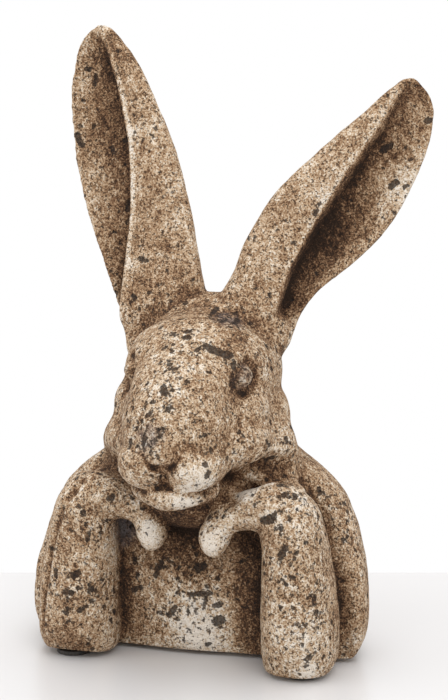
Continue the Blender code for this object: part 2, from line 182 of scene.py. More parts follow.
# An ellipsoid (a sin v cos w, b sin v sin w, -c cos v), turned by tilt about X, roll about Y and yaw about Z.
def massSurface(centre, radii, tilt=0.0, roll=0.0, yaw=0.0, rows=30, columns=44):
    v = np.linspace(0.03, np.pi - 0.03, rows)[:, None]
    w = np.linspace(0, 2 * np.pi, columns, endpoint=False)[None, :]
    shape = np.stack([radii[0] * np.sin(v) * np.cos(w), radii[1] * np.sin(v) * np.sin(w),
                      -radii[2] * np.cos(v) + 0 * w], axis=-1)
    a, b, c = np.radians([tilt, roll, yaw])
    aboutX = np.array([[1, 0, 0], [0, np.cos(a), -np.sin(a)], [0, np.sin(a), np.cos(a)]])
    aboutY = np.array([[np.cos(b), 0, np.sin(b)], [0, 1, 0], [-np.sin(b), 0, np.cos(b)]])
    aboutZ = np.array([[np.cos(c), -np.sin(c), 0], [np.sin(c), np.cos(c), 0], [0, 0, 1]])
    return shape @ (aboutZ @ aboutY @ aboutX).T + np.array(centre, float)


# Offsets sideways from each ear's base-to-tip line: its outer edge, its inner edge, and the rolled rim between.
earAt = [-.12, 0, .1, .2, .3, .4, .5, .6, .7, .8, .9, .95, .985, 1.0]
ears = dict(
    right=dict(
        base=(-38, 10, 215), tip=(-86.5, 47, 402.5), out=-1,
        outer=[22, 23.4, 28, 31.6, 35.3, 38.2, 39.6, 39.2, 37, 33.4, 24.9, 19, 10, 3],
        inner=[-39, -36.9, -36, -35.7, -35.5, -34.5, -33, -30, -26, -21.5, -14.2, -9, -3.5, 2],
        rim=[24, 21, 16.7, 11.4, 5.2, .4, -3.4, -5.4, -5.4, -4.3, -1.6, 1.2, 3, 2.6]),
    left=dict(
        base=(36, 10, 213), tip=(122.5, 47, 370.5), out=1,
        outer=[20, 19, 16.5, 19.2, 26, 32, 36, 36.9, 35.2, 32.4, 26.6, 21, 11.6, 3],
        inner=[-37, -34.6, -35, -38.5, -39.1, -38.1, -34, -28.3, -22.2, -15.8, -10.3, -6.5, -3, 1.5],
        rim=[8, 4.5, .5, -3.4, -4.7, -5.3, -5.2, -4.4, -2.8, -1.8, -2, -.8, 0, 2]))
earSection = dict(
    ridge=[17, 17, 14, 12, 11, 10.6, 10.2, 9.6, 8.6, 7, 4.6, 3, 1.5, .5],
    hollow=[2, 2, 4, 6, 7.5, 8.2, 8.4, 8.2, 7.4, 6, 3.6, 2, .6, 0],
    behind=[22, 22, 21, 20, 19, 18.3, 17.6, 16.6, 15, 12.6, 9, 6.4, 3.4, 1.2],
    turn=8.0, bow=5.0)


# The ear's own directions: along from base to tip, facing forwards turned out by turn degrees, outward square to
# both.
def earAxes(ear):
    base = np.array(ear["base"], float)
    reach = np.array(ear["tip"], float) - base
    length = np.linalg.norm(reach)
    along = reach / length
    turn = np.radians(earSection["turn"])
    facing = np.array([ear["out"] * np.sin(turn), -np.cos(turn), 0.0])
    facing -= along * (facing @ along)
    facing /= np.linalg.norm(facing)
    outward = np.cross(facing, along)
    outward *= np.sign(outward[0] * ear["out"])
    return base, length, along, facing, outward


# Each cross section goes from the outer edge over a cupped hollow, up a wall to the rolled rim, down a convex flap
# to the inner edge, and home over a rounded back.
def earSurface(ear, rows=130, columns=120):
    base, length, along, facing, outward = earAxes(ear)
    t = np.linspace(earAt[0], 1, rows)
    outer, inner, rim = (through(t, earAt, ear[name])[:, None] for name in ("outer", "inner", "rim"))
    ridge, hollow, behind = (
        through(t, earAt, earSection[name])[:, None] for name in ("ridge", "hollow", "behind"))
    p = (1 - np.cos(np.linspace(0, np.pi, columns // 2 + 1)))[None, :-1] / 2
    rimAt = np.clip((outer - rim) / (outer - inner), 0.05, 0.95)
    cupAt = np.clip(p / rimAt, 0, 1)
    cup = 2.2 - (hollow + 2.2) * np.sin(np.pi / 2 * np.clip(cupAt / 0.82, 0, 1)) ** 1.3
    cup = cup + (ridge - cup) * eased(cupAt, 0.86, 1.0)
    flapAt = np.clip((p - rimAt) / (1 - rimAt), 0, 1)
    flap = ridge * np.sqrt(1 - flapAt**2.4)
    front = np.where(p < rimAt, cup, flap)
    back = -behind * np.abs(np.sin(np.pi * p)) ** 0.5 * (1 - 0.3 * p) - 1.5
    sideways = np.hstack([outer + (inner - outer) * p, inner + (outer - inner) * p])
    forward = np.hstack([front, back]) - earSection["bow"] * np.sin(np.pi * np.clip(t, 0, 1))[:, None]
    rings = base + (t[:, None] * length)[..., None] * along
    rings = rings + sideways[..., None] * outward + forward[..., None] * facing
    return rings if ear["out"] > 0 else rings[:, ::-1]


# A form and its mirror image (-x, y, z), whose rings run the other way round so that they still face out.
def pair(name, rings):
    other = (rings * np.array([-1.0, 1, 1]))[:, ::-1]
    core = other.mean(axis=1, keepdims=True)
    other = core + (other - core) * np.array([rightWider.get(name, 1.0), 1, 1])
    return [rings, other + np.array(rightShift.get(name, (0, 0, 0)), float)]


# A grid of rings closed up: two triangles a cell, and a fan over the middle of each end ring.
def closedSurface(rings):
    rows, columns = rings.shape[:2]
    index = np.arange(rows * columns).reshape(rows, columns)
    beside = np.roll(index, -1, axis=1)
    low, lowNext, high, highNext = index[:-1], beside[:-1], index[1:], beside[1:]
    first, last = rows * columns, rows * columns + 1
    triangles = np.concatenate([
        np.stack([low, lowNext, highNext], axis=-1).reshape(-1, 3),
        np.stack([low, highNext, high], axis=-1).reshape(-1, 3),
        np.stack([np.full(columns, first), beside[0], index[0]], axis=-1),
        np.stack([np.full(columns, last), index[-1], beside[-1]], axis=-1)])
    points = np.concatenate([rings.reshape(-1, 3), rings[:1].mean(axis=1), rings[-1:].mean(axis=1)])
    return points, triangles


# A mesh of loose arrays: points (n, 3) and triangles (m, 3).
def meshFrom(name, points, triangles):
    mesh = bpy.data.meshes.new(name)
    mesh.vertices.add(len(points))
    mesh.vertices.foreach_set("co", points.astype(np.float32).ravel())
    mesh.loops.add(triangles.size)
    mesh.loops.foreach_set("vertex_index", triangles.astype(np.int32).ravel())
    mesh.polygons.add(len(triangles))
    mesh.polygons.foreach_set("loop_start", np.arange(0, triangles.size, 3, dtype=np.int32))
    mesh.update(calc_edges=True)
    mesh.validate()
    return mesh


# The mesh read back as arrays: its points, its triangles, its edges.
def pointsOf(mesh):
    points = np.empty(len(mesh.vertices) * 3, np.float32)
    mesh.vertices.foreach_get("co", points)
    return points.reshape(-1, 3).astype(float)


def trianglesOf(mesh):
    mesh.calc_loop_triangles()
    triangles = np.empty(len(mesh.loop_triangles) * 3, np.int32)
    mesh.loop_triangles.foreach_get("vertices", triangles)
    return triangles.reshape(-1, 3)


def edgesOf(mesh):
    edges = np.empty(len(mesh.edges) * 2, np.int32)
    mesh.edges.foreach_get("vertices", edges)
    return edges.reshape(-1, 2)


# An object of the given data, linked into the scene.
def added(name, data):
    thing = bpy.data.objects.new(name, data)
    scene.collection.objects.link(thing)
    return thing


# The mesh as one modifier leaves it.
def modified(mesh, kind, **settings):
    holder = added("holder", mesh)
    step = holder.modifiers.new("step", kind)
    for name, value in settings.items():
        setattr(step, name, value)
    graph = bpy.context.evaluated_depsgraph_get()
    result = bpy.data.meshes.new_from_object(holder.evaluated_get(graph))
    bpy.data.objects.remove(holder)
    return result


# Each point goes weight of the way to the mean of its neighbours, once a round.
def relaxed(points, edges, weight, rounds):
    a = np.concatenate([edges[:, 0], edges[:, 1]])
    b = np.concatenate([edges[:, 1], edges[:, 0]])
    count = np.bincount(a, minlength=len(points))[:, None]
    for _ in range(rounds):
        total = [np.bincount(a, weights=points[b, axis], minlength=len(points)) for axis in range(3)]
        points = points + weight[:, None] * (np.stack(total, axis=1) / count - points)
    return points


# The outward area at each point: a third of the cross product over two of every triangle that meets there.
def areaAt(points, triangles):
    corner = [points[triangles[:, k]] for k in range(3)]
    area = np.cross(corner[1] - corner[0], corner[2] - corner[0]) / 6
    return np.stack([sum(np.bincount(triangles[:, k], weights=area[:, axis], minlength=len(points))
                         for k in range(3)) for axis in range(3)], axis=1)


# Outward directions: the outward area over its own length.
def normalsAt(points, triangles):
    area = areaAt(points, triangles)
    return area / np.maximum(np.linalg.norm(area, axis=1), 1e-12)[:, None]


# Random numbers from -1 to 1 on a grid of the given size, eased from corner to corner.
def lumps(points, size, seed):
    table = np.random.default_rng(seed).uniform(-1, 1, (32, 32, 32))
    cell = np.floor(points / size).astype(int)
    f = points / size - cell
    f = f * f * (3 - 2 * f)
    total = 0
    for corner in np.ndindex(2, 2, 2):
        i = (cell + corner) % 32
        total = total + np.prod(np.where(corner, f, 1 - f), axis=1) * table[i[:, 0], i[:, 1], i[:, 2]]
    return total


# how smooth the fused stone is rubbed, and how lumpy the casting is
stone = dict(
    grain=1.2,            # cell of the grid that fuses the forms
    faces=190000,
    rubbed=1.7, faceRubbed=5.2,
    lumpSize=(13.0, 5.0), lumpHeight=(0.45, 0.22),
    soleClear=(0.5, 4),   # how far over the sole lumps and pits begin, and reach their full depth
    shadeWidths=(3.2, 7.0, 15.0))    # three widths at which hollows are darkened, as painted shade
# the part of the head that is rubbed most: it fades out towards the back, the neck, the crown and the sides, and
# round the eyes
faceBand = dict(back=(-15.5, 9.5), neck=(100, 116), crown=(214, 230), side=(65, 75), eye=(36.6, 46, 183),
                eyeClear=(9, 15))

# soft swellings: where, how far they fade out, how much stone they add
swellings = dict(
    lip=dict(at=(17, -97, 134), reach=20, rise=2.0),
    nose=dict(at=(0, -101, 146), reach=13, rise=1.6),
    eyeball=dict(at=(39, -49.5, 188), reach=9.5, rise=1.5),
    lowerLip=dict(at=(0, -96, 114), reach=24, rise=2.5),
    chest=dict(at=(-8, -37, 22), reach=42, rise=3.0))

# carved strokes: the line they follow, how wide they fade out, how deep they go
strokes = dict(
    mouth=dict(wide=4.0, deep=3.8, line=[
        (0, -93, 127), (5, -92.5, 123.7), (10, -92, 122), (17, -90, 121.4), (23, -86, 122.4), (29, -78, 124.6),
        (33, -68, 127.5)]),
    philtrum=dict(wide=4.8, deep=3.0, line=[(0, -101, 139), (0, -98, 134), (0, -93, 127)]),
    nostril=dict(wide=4.0, deep=3.8, line=[(10.5, -98, 145.5), (8.5, -99, 142), (4.5, -100, 139), (0, -101, 137)]),
    eyeRing=dict(wide=4.6, deep=2.5, line=[
        (37.9, -41.7, 198), (41.3, -40.1, 193.5), (43.2, -39.7, 187.2), (42.3, -45.9, 180.6), (38.2, -52.2, 178.1),
        (35.1, -57.3, 181.1), (33.4, -56.9, 185.4), (33.5, -51.4, 190.7), (35.4, -46.6, 195.6), (37.9, -41.7, 198)]),
    lid=dict(wide=9.0, deep=-1.0, line=[(31, -50, 200), (37, -41.5, 204), (44, -35.5, 200), (48, -33, 190)]),
    tearTrough=dict(wide=13, deep=1.6, line=[(36, -56, 179), (33.5, -64, 178), (33, -70, 173)]),
    muzzleSide=dict(wide=12, deep=1.8, line=[(38, -66, 156), (40, -62, 146), (38, -60, 132)]),
    forehead=dict(wide=16, deep=2.2, line=[
        (50, -4, 207), (44, -7, 211), (36, -12, 215.5), (24, -19, 220), (11, -23, 223.5), (0, -24, 224.5)]),
    underCheek=dict(wide=13, deep=5, line=[
        (32, -60, 126), (40, -54, 128), (50, -42, 129), (60, -30, 128), (68, -18, 128)]),
    underChin=dict(wide=10, deep=4.5, line=[(0, -82, 103), (13, -80, 103.5), (24, -70, 108), (32, -60, 116)]),
    flank=dict(wide=11, deep=3.5, line=[
        (66, -18, 114), (77, -21, 102.5), (84, -23, 87), (90, -26, 68.7), (94.5, -28, 50), (97, -28.4, 31),
        (97.5, -27.4, 6)]),
    shoulder=dict(wide=12, deep=4, line=[(40, -30, 119), (52, -24, 121), (66, -18, 114)]),
    rightEdge=dict(wide=4.5, deep=2.6, rightOnly=True, line=[
        (61, -31, 120), (68, -53, 114), (76, -57, 105), (82, -60, 91), (88, -61, 71), (90, -62, 52), (92.5, -62, 34),
        (94, -61, 22)]))
# the right forefoot's lower edge, worn up off the table in front of its pad
wornEdge = dict(at=(-76, -64, 3.3), reach=35, rise=3.0, upTo=16)
otherSide = np.array([-1.0, 1, 1])


# Distance from each point to a line of straight stretches.
def distanceTo(points, line):
    line = np.array(line, float)
    nearest = np.full(len(points), 1e6)
    for start, end in zip(line[:-1], line[1:]):
        u = np.clip((points - start) @ (end - start) / ((end - start) @ (end - start)), 0, 1)
        nearest = np.minimum(nearest, np.linalg.norm(points - start - u[:, None] * (end - start), axis=1))
    return nearest


# (1 - (distance / reach)^2)^2, which is 1 at the middle and nothing beyond the reach
def fading(distance, reach):
    return np.clip(1 - (distance / reach) ** 2, 0, 1) ** 2


# Each swelling moves the skin out by rise * fading(distance, reach). Each stroke then moves it in by
# deep * fading(distance, wide), and the strongest stroke counts.
def carved(points, triangles):
    rise = np.zeros(len(points))
    for swelling in swellings.values():
        at = np.array(swelling["at"], float)
        for centre in ([at] if at[0] <= 0 else [at, at * otherSide]):
            rise += swelling["rise"] * fading(np.linalg.norm(points - centre, axis=1), swelling["reach"])
    points = points + rise[:, None] * normalsAt(points, triangles)
    cut, raised = np.zeros(len(points)), np.zeros(len(points))
    for name, stroke in strokes.items():
        mirror = (points - np.array(rightShift.get(name, (0, 0, 0)), float)) * otherSide
        near = distanceTo(mirror, stroke["line"])
        if not stroke.get("rightOnly"):
            near = np.minimum(near, distanceTo(points, stroke["line"]))
        depth = stroke["deep"] * fading(near, stroke["wide"])
        cut, raised = np.maximum(cut, depth), np.minimum(raised, depth)
    return points - (cut + raised)[:, None] * normalsAt(points, triangles)


# air holes and lost grit: how many, their radii, how deep, and how far they spread lengthways for their radius
pitting = dict(
    count=1100, smallest=0.8, largest=1.8, falloff=4.0, depth=0.7, spread=0.385, seed=7,
    wall=(-1.5, 0.35),    # a pit reaches its depth this far inside its edge, and starts this far outside
    inClose=0.05,         # the chance of one in close stone, to 1 in open stone
    overSole=1.0)
# where the stone is more open, with more holes of every size: place, reach, how much more
openPatches = dict(
    forehead=((-3, -56, 207), 30, 0.5), bridge=((-8, -82, 180), 30, 0.55), muzzle=((-12, -97, 158), 22, 0.6),
    lips=((20, -97, 134), 18, -0.25), lowerLip=((6, -94, 116), 22, -0.6), paws=((0, -66, 86), 32, -0.6),
    cheek=((52, -38, 144), 30, 0.35), eyes=((36, -50, 190), 16, 0.5), armBend=((72, -62, 106), 28, 0.6),
    armBendRight=((-72, -62, 92), 26, 0.2), forearm=((84, -72, 40), 34, 0.3), forearmRight=((-72, -76, 52), 30, 0.3),
    chest=((-6, -36, 34), 36, 0.5), flank=((92, -22, 96), 26, 0.3), crown=((16, -22, 222), 20, 0.5),
    earFlap=((-50, 27, 330), 22, 0.3), earCup=((-84, 44, 330), 30, -0.2), throat=((0, -40, 100), 30, -0.2))
# the largest holes, each where it is in the casting: its middle, its two ends apart, and its radius
blots = dict(
    brow=((22.5, -51.3, 204), (11, 4, -5), 2.8), browRound=((15, -52.5, 207), (1, 0, 0), 2.4),
    foreheadTop=((2.2, -46.4, 215), (3, 0, 2), 2.0), foreheadLow=((1, -50, 212.2), (4, 0, 0), 1.6),
    bridge=((-3.3, -85.2, 185), (-2, 0, 6), 2.6), muzzleRight=((-9.2, -93.1, 172.5), (3, 0, 7), 1.6),
    muzzleTop=((2.8, -92.5, 175.5), (3, 0, 6), 1.7), lipSide=((-21.5, -93.3, 152.4), (0, 0, 5), 1.7),
    lipTop=((-11.2, -98.9, 155.5), (2, 0, 4), 1.8), nosePatch=((-1, -99, 163), (3, 0, 1), 1.8),
    lipFront=((27, -94, 137), (1, 0, 2), 1.9), cheek=((45.8, -46.8, 147.9), (1, 0, 1), 2.0),
    cheekTop=((50.1, -33.7, 157), (2, 2, 7), 1.4), cheekLow=((52, -38, 133), (3, 1, 1), 2.2),
    armBend=((58, -68, 103), (6, 0, 2), 2.8), armBendTop=((64, -64, 108), (5, 0, 3), 1.6),
    forearm=((68.9, -72.3, 84.2), (2, 0, 6), 2.2), forearmRight=((-66.5, -74.3, 59.5), (3, 0, 2), 2.4),
    forearmRightLow=((-72, -76, 47), (5, 0, 0), 2.0),
    chestTop=((5.8, -35.4, 60.5), (3, 0, 1), 3.2), chestBar=((5, -37.4, 43), (14, 0, 2), 1.7),
    chestLeft=((17.5, -36.5, 25), (3, 0, 2), 3.1), chestSide=((-21.8, -35.5, 59), (2, 0, 4), 2.2),
    chestRight=((-38, -35.6, 43), (5, 0, 2), 1.9), chestMiddle=((-13, -37.6, 30), (3, 0, 5), 2.0),
    earHigh=((-96.1, 47.7, 372.5), (2, 0, 0), 1.9), earRoll=((-91.5, 48.3, 365.3), (-1, 0, -6), 1.4),
    earEdge=((-101.5, 42, 326), (-3, 0, 6), 2.2), earDeep=((-69.8, 45.5, 326), (1, 0, 1), 1.9),
    earCorner=((-64.9, 38.1, 283.7), (1, 0, 5), 2.6), earFlap=((-46.1, 7.7, 252), (6, 0, -1), 1.8),
    leftEarHigh=((106.3, 48.4, 324.5), (5, 0, 3), 2.1), leftEarEdge=((133.2, 46.4, 343), (2, 0, 1), 2.0),
    leftEarRim=((66.1, 19.1, 284.4), (1, 0, 2), 1.5), leftEarDeep=((112, 44, 302), (3, 0, 3), 2.2),
    crown=((27, -20, 223), (0, 9, 2), 1.9), crownRight=((9, -16, 225), (1, 10, 2), 2.0),
    crownLow=((18, -26, 219), (0, 8, 3), 1.7),
    eyeCorner=((32.5, -51, 198), (1, 0, 7), 1.9), eyeLow=((34, -54, 184.3), (0, 0, 2), 1.3),
    eyeBelow=((37.5, -50, 179.3), (3, 2, 0), 1.3), eyeLeft=((32.9, -58.4, 181.5), (1, -1, -2), 1.1),
    forearmRightInner=((-59.5, -64, 49), (1, 0, 3), 1.7), forearmRightFoot=((-65, -67, 35), (3, 0, 1), 1.5),
    forearmRightSide=((-74, -68.5, 34), (2, 0, 2), 1.7), forearmRightTop=((-61, -62.5, 82), (1, 0, 4), 1.6),
    chestOval=((17.5, -36.5, 36.5), (4, 0, 2), 1.8), chestDot=((3, -37.5, 31), (0, 0, 2), 1.4),
    chestDotRight=((-23, -36, 53), (1, 0, 2), 1.5), chestFoot=((10.5, -33, 9), (2, 0, 1), 1.4),
    foreheadSpot=((-8, -48, 213), (1, 0, 2), 1.4), foreheadMiddle=((0, -73.5, 196), (4, 0, 1), 1.4),
    muzzleLeft=((20, -90.5, 167.5), (3, 0, 1), 1.4), lipLeft=((28, -87.5, 150.5), (1, 0, 1), 1.5),
    cheekFront=((39, -65, 156.5), (1, 0, 1), 1.4))


# how open the stone is everywhere, how much that swings and over what size, and how much less up on the ears
openStone = dict(everywhere=0.38, swing=0.45, size=24, seed=5, lessOnEars=0.5, earsFrom=(228, 246))


# How open the stone is, from 0 close to 1 full of holes: slow random lumps and the patches, less up on the ears.
def openness(points):
    slow = openStone["swing"] * lumps(points, openStone["size"], openStone["seed"])
    found = openStone["everywhere"] + slow + patchTotal(points, openPatches)
    return np.clip(found, 0, 1) * (1 - openStone["lessOnEars"] * eased(points[:, 2], *openStone["earsFrom"]))


# Middles spread evenly over the surface but thicker where the stone is more open, each with a direction and a
# radius smallest * u^(-1 / falloff).
def scatteredPits(points, triangles):
    rng = np.random.default_rng(pitting["seed"])
    centre = points[triangles].mean(axis=1)
    area = np.linalg.norm(np.cross(points[triangles[:, 1]] - points[triangles[:, 0]],
                                   points[triangles[:, 2]] - points[triangles[:, 0]]), axis=1)
    chance = area * (pitting["inClose"] + openness(centre) ** 2) * (centre[:, 2] > sole + pitting["overSole"])
    chosen = rng.choice(len(centre), pitting["count"], p=chance / chance.sum(), replace=False)
    radius = pitting["smallest"] * rng.uniform(0.02, 1, len(chosen)) ** (-1 / pitting["falloff"])
    radius = np.minimum(radius, pitting["largest"])
    along = rng.normal(size=(len(chosen), 3)) * radius[:, None] * pitting["spread"]
    for place, reach, wide in blots.values():
        nearest = np.argmin(np.linalg.norm(points - np.array(place, float), axis=1))
        centre = np.concatenate([centre, points[nearest : nearest + 1]])
        chosen = np.append(chosen, len(centre) - 1)
        along = np.concatenate([along, [np.array(reach, float) / 2]])
        radius = np.append(radius, wide)
    return centre[chosen], along, radius


# Distance from each point to the edge of the nearest pit, less than nothing inside it. A pit is all that lies
# within its radius of the short line from centre - along to centre + along.
def pitEdge(points, pits, limit=4.0):
    order = np.argsort(points[:, 2])
    height = points[order, 2]
    edge = np.full(len(points), limit)
    for centre, along, radius in zip(*pits):
        reach = radius + limit + np.linalg.norm(along)
        low, high = np.searchsorted(height, [centre[2] - reach, centre[2] + reach])
        near = order[low:high]
        offset = points[near] - centre
        u = np.clip(offset @ along / max(along @ along, 1e-9), -1, 1)
        edge[near] = np.minimum(edge[near], np.linalg.norm(offset - u[:, None] * along, axis=1) - radius)
    return edge


# How much of the space round each place is stone, for each width of bell it is blurred with. The outward area
# V of the surface is the solid's slope, so the solid is i (k . V) / k^2 in waves, times exp(-k^2 width^2 / 2).
# the material darkens the stone by this, as painted shade in hollows
def stoneAround(points, triangles, places, widths, cell=2.5, margin=50):
    area = areaAt(points, triangles)
    low = points.min(axis=0) - margin
    shape = np.ceil((points.max(axis=0) + margin - low) / cell).astype(int)
    place = (places - low) / cell
    flat = np.ravel_multi_index(tuple(np.round((points - low) / cell).astype(int).T), shape)
    wave = [2 * np.pi * np.fft.fftfreq(shape[0], cell), 2 * np.pi * np.fft.fftfreq(shape[1], cell),
            2 * np.pi * np.fft.rfftfreq(shape[2], cell)]
    k = np.meshgrid(*wave, indexing="ij")
    size = k[0] ** 2 + k[1] ** 2 + k[2] ** 2
    size[0, 0, 0] = 1
    total = sum(k[axis] * np.fft.rfftn(np.bincount(flat, area[:, axis], np.prod(shape)).reshape(shape))
                for axis in range(3))
    found = []
    for width in widths:
        solid = np.fft.irfftn(1j * total / size * np.exp(-size * width**2 / 2), s=tuple(shape)) / cell**3
        solid -= solid[0, 0, 0]
        corner = np.floor(place).astype(int)
        f = place - corner
        value = 0
        for step in np.ndindex(2, 2, 2):
            i = corner + step
            value = value + np.prod(np.where(step, f, 1 - f), axis=1) * solid[i[:, 0], i[:, 1], i[:, 2]]
        found.append(value)
    return found


# soot and painted shade inside the ears, from the foot of the rim's wall towards the outer edge, and a painted
# highlight along the rims' edges
earSootAndShade = dict(right=0.75, left=1.0, width=40, wall=(-1.4, 0.6), facingBack=(-0.9, -0.3), foot=(0.0, 0.12),
               tip=(0.62, 0.95), thinnerAtTip=0.75)
rimHighlight = dict(right=1.5, left=0.7, at=-2.0, width=3.5, foot=(0.1, 0.3), tip=(0.9, 1.0))


# Where each point lies on an ear: its share of the way up, how far it is beyond the rim, and how far in front.
def placeOnEar(points, ear):
    base, length, along, facing, outward = earAxes(ear)
    t = (points - base) @ along / length
    beyond = (points - base) @ outward - through(np.clip(t, earAt[0], 1), earAt, ear["rim"])
    return t, beyond, (points - base) @ facing


# Soot and painted shade inside each ear: 1 at the foot of the rim's wall, fading over the width towards the outer
# edge, on what doesn't face back, and thinner towards the tip.
def earShade(points, normal):
    shade = np.zeros(len(points))
    for side, ear in ears.items():
        t, beyond, _ = placeOnEar(points, ear)
        inside = eased(beyond, *earSootAndShade["wall"]) * fading(np.maximum(beyond, 0), earSootAndShade["width"])
        inside *= eased(normal @ earAxes(ear)[3], *earSootAndShade["facingBack"]) * eased(t, *earSootAndShade["foot"])
        inside *= 1 - earSootAndShade["thinnerAtTip"] * eased(t, *earSootAndShade["tip"])
        shade = np.maximum(shade, earSootAndShade[side] * inside)
    return shade


# A painted highlight along the ears' rims: a narrow band on the flap's side, from low on the ear to near its tip.
def rimTotal(points):
    total = np.zeros(len(points))
    for side, ear in ears.items():
        t, beyond, forward = placeOnEar(points, ear)
        band = fading(beyond - rimHighlight["at"], rimHighlight["width"]) * (forward > 0)
        total += rimHighlight[side] * band * eased(t, *rimHighlight["foot"]) * (1 - eased(t, *rimHighlight["tip"]))
    return total


# where weather and handling have bleached the stone (more than 0) or left it dark, with some painted shade: place,
# reach, how much
tonePatches = dict(
    # head
    forehead=((-2, -62, 203), 36, 0.6), bridge=((-2, -86, 184), 28, 0.7), muzzleTop=((-8, -97, 163), 20, 0.3),
    lipFront=((22, -96, 136), 17, 1.9), lipLow=((30, -92, 131), 11, 0.5), lowerLip=((14, -93, 118), 15, 3.0),
    lipRight=((-20, -96, 130), 14, 0.5), lipFoldRight=((-14, -98, 128), 10, -0.4),
    # underChin, throat, cheekUnder and tearTrough are painted shade under the jaw, under the cheek and below the eye
    mouthCorner=((10, -96, 133), 9, -0.6), underChin=((-2, -70, 102), 20, -1.6), throat=((-4, -46, 100), 30, -2.2),
    cheekSide=((58, -31, 148), 24, 0.5), cheekUnder=((52, -42, 130), 16, -0.3),
    cheekUnderDeep=((43, -48, 118), 20, 3.6), tearTrough=((34, -60, 180), 13, -0.7),
    eyeLeft=((39, -49, 187), 13, -0.3), eyeRight=((-39, -49, 187), 13, -0.3), brow=((30, -42, 206), 16, -0.7),
    crown=((22, -22, 221), 18, -0.45), crownMiddle=((6, -22, 222), 26, -0.5),
    # forelegs and paws
    armBend=((74, -58, 109), 26, 1.0), armOver=((60, -64, 112), 14, 0.4), armTop=((-70, -58, 106), 24, 0.5),
    chip=((-68.5, -55, 113), 4.5, 5.0), pawRight=((-20, -63, 86), 18, 2.6), pawLeft=((21.5, -70, 86), 18, 2.0),
    wristLeft=((34, -66, 104), 14, 0.7), wristRight=((-30, -64, 103), 16, 0.4),
    forearmLow=((84, -73, 32), 30, 1.0), forearmRight=((-76, -74, 44), 32, 0.2), foot=((84, -70, 8), 12, 2.4),
    footRight=((-74, -66, 12), 22, -0.7),
    # body
    # chestTop is painted shade on the chest's top, under the head
    chest=((3, -36, 25), 37, 2.5), chestLow=((0, -33, 10), 22, 0.5), chestTop=((0, -36, 74), 34, -1.1),
    niche=((-50, -34, 74), 30, 0.6), flankLow=((98, -28, 46), 32, -0.5),
    # ears
    earFlap=((-49, 27, 335), 24, 0.5), earTip=((-80, 45, 379), 26, -1.8), earPoint=((-86, 46, 402), 9, 0.8),
    earCup=((-84, 42, 344), 40, -0.7), leftTip=((120, 47, 366), 30, -0.9), leftFlapMiddle=((70, 24, 300), 24, 0.35),
    leftOuter=((118, 42, 300), 28, 1.3), leftCup=((77, 35, 266), 34, -0.9), leftOuterLow=((84, 30, 256), 16, 0.5),
    earFoot=((-12, 2, 234), 26, -0.5), earFootSide=((-48, 2, 228), 24, -0.3))
greyPatches = dict(
    niche=((-52, -32, 84), 22, 0.9), muzzle=((-8, -99, 157), 15, 0.55), crown=((22, -24, 221), 16, 0.6),
    eye=((39, -49, 189), 13, 0.4))


# painted shade that follows a line, down beside the forearms, under the lower lip and over the chest's top: the line,
# how wide it fades out, how much, as for the patches
shadeLines = dict(
    chestSide=([(42, -38, 88), (41, -35, 60), (40, -35, 34), (42, -34, 6)], 20, -1.5),
    chestSideRight=([(-46, -34, 70), (-47, -33, 40), (-46, -32, 6)], 14, -0.2),
    underLip=([(-26, -74, 112), (-12, -80, 106), (4, -82, 104), (20, -78, 106), (32, -66, 113)], 11, -1.3),
    chestTop=([(-34, -38, 84), (0, -37, 80), (30, -38, 84)], 20, -0.5))
# painted shade along the carved creases, and a paler philtrum: how much
creaseShade = dict(rightEdge=-0.9, eyeRing=-1.0, mouth=-1.8, philtrum=0.3, nostril=-2.6, forehead=-0.3)


# The painted shade summed over the carved lines, on both sides, and the shade lines: amount * fading(distance, wide).
def lineTotal(points):
    total = np.zeros(len(points))
    for name, amount in creaseShade.items():
        near = distanceTo(points * otherSide, strokes[name]["line"])
        if not strokes[name].get("rightOnly"):
            near = np.minimum(near, distanceTo(points, strokes[name]["line"]))
        total += amount * fading(near, strokes[name]["wide"])
    for line, wide, amount in shadeLines.values():
        total += amount * fading(distanceTo(points, line), wide)
    return total


# The sum over the patches of amount * (1 - (distance / reach)^2)^2
def patchTotal(points, patches):
    total = np.zeros(len(points))
    for place, reach, amount in patches.values():
        total += amount * fading(np.linalg.norm(points - np.array(place, float), axis=1), reach)
    return total


# How many rounds of half-way relaxing rub the skin down over the given distance: 2 (spread / cell)^2.
def roundsFor(spread, cell):
    return int(np.ceil(2 * (spread / cell) ** 2))


